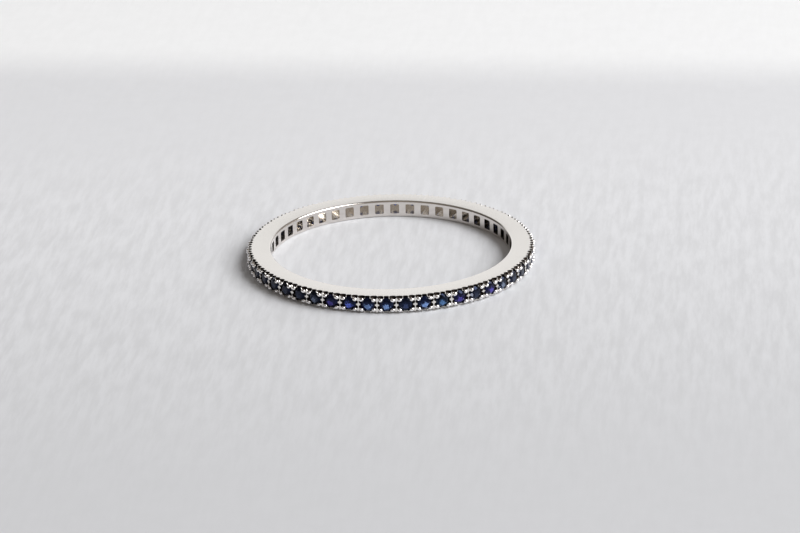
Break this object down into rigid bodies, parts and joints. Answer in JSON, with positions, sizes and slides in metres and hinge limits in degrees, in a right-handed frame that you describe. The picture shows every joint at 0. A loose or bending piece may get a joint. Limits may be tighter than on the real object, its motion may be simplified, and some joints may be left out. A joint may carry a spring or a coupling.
{
  "type": "eternity ring",
  "caption": "Narrow flat-sided finger ring with a full row of small round blue stones, each set in an open cup between raised beads, and windows pierced behind them.",
  "frame": {"origin": "centre of the finger hole, in the plane of the side face that the ring rests on", "axes": "+Z along the finger hole, straight up as the ring lies on its side; X and Y are alike, and a bar between two stones stands on each of them"},
  "size_m": [0.0198, 0.0198, 0.0012],
  "materials": {
    "white_gold": "polished",
    "sapphire": "polished"
  },
  "bodies": {
    "root": {"band": "white_gold", "sapphires": "sapphire"}
  },
  "joints": []
}
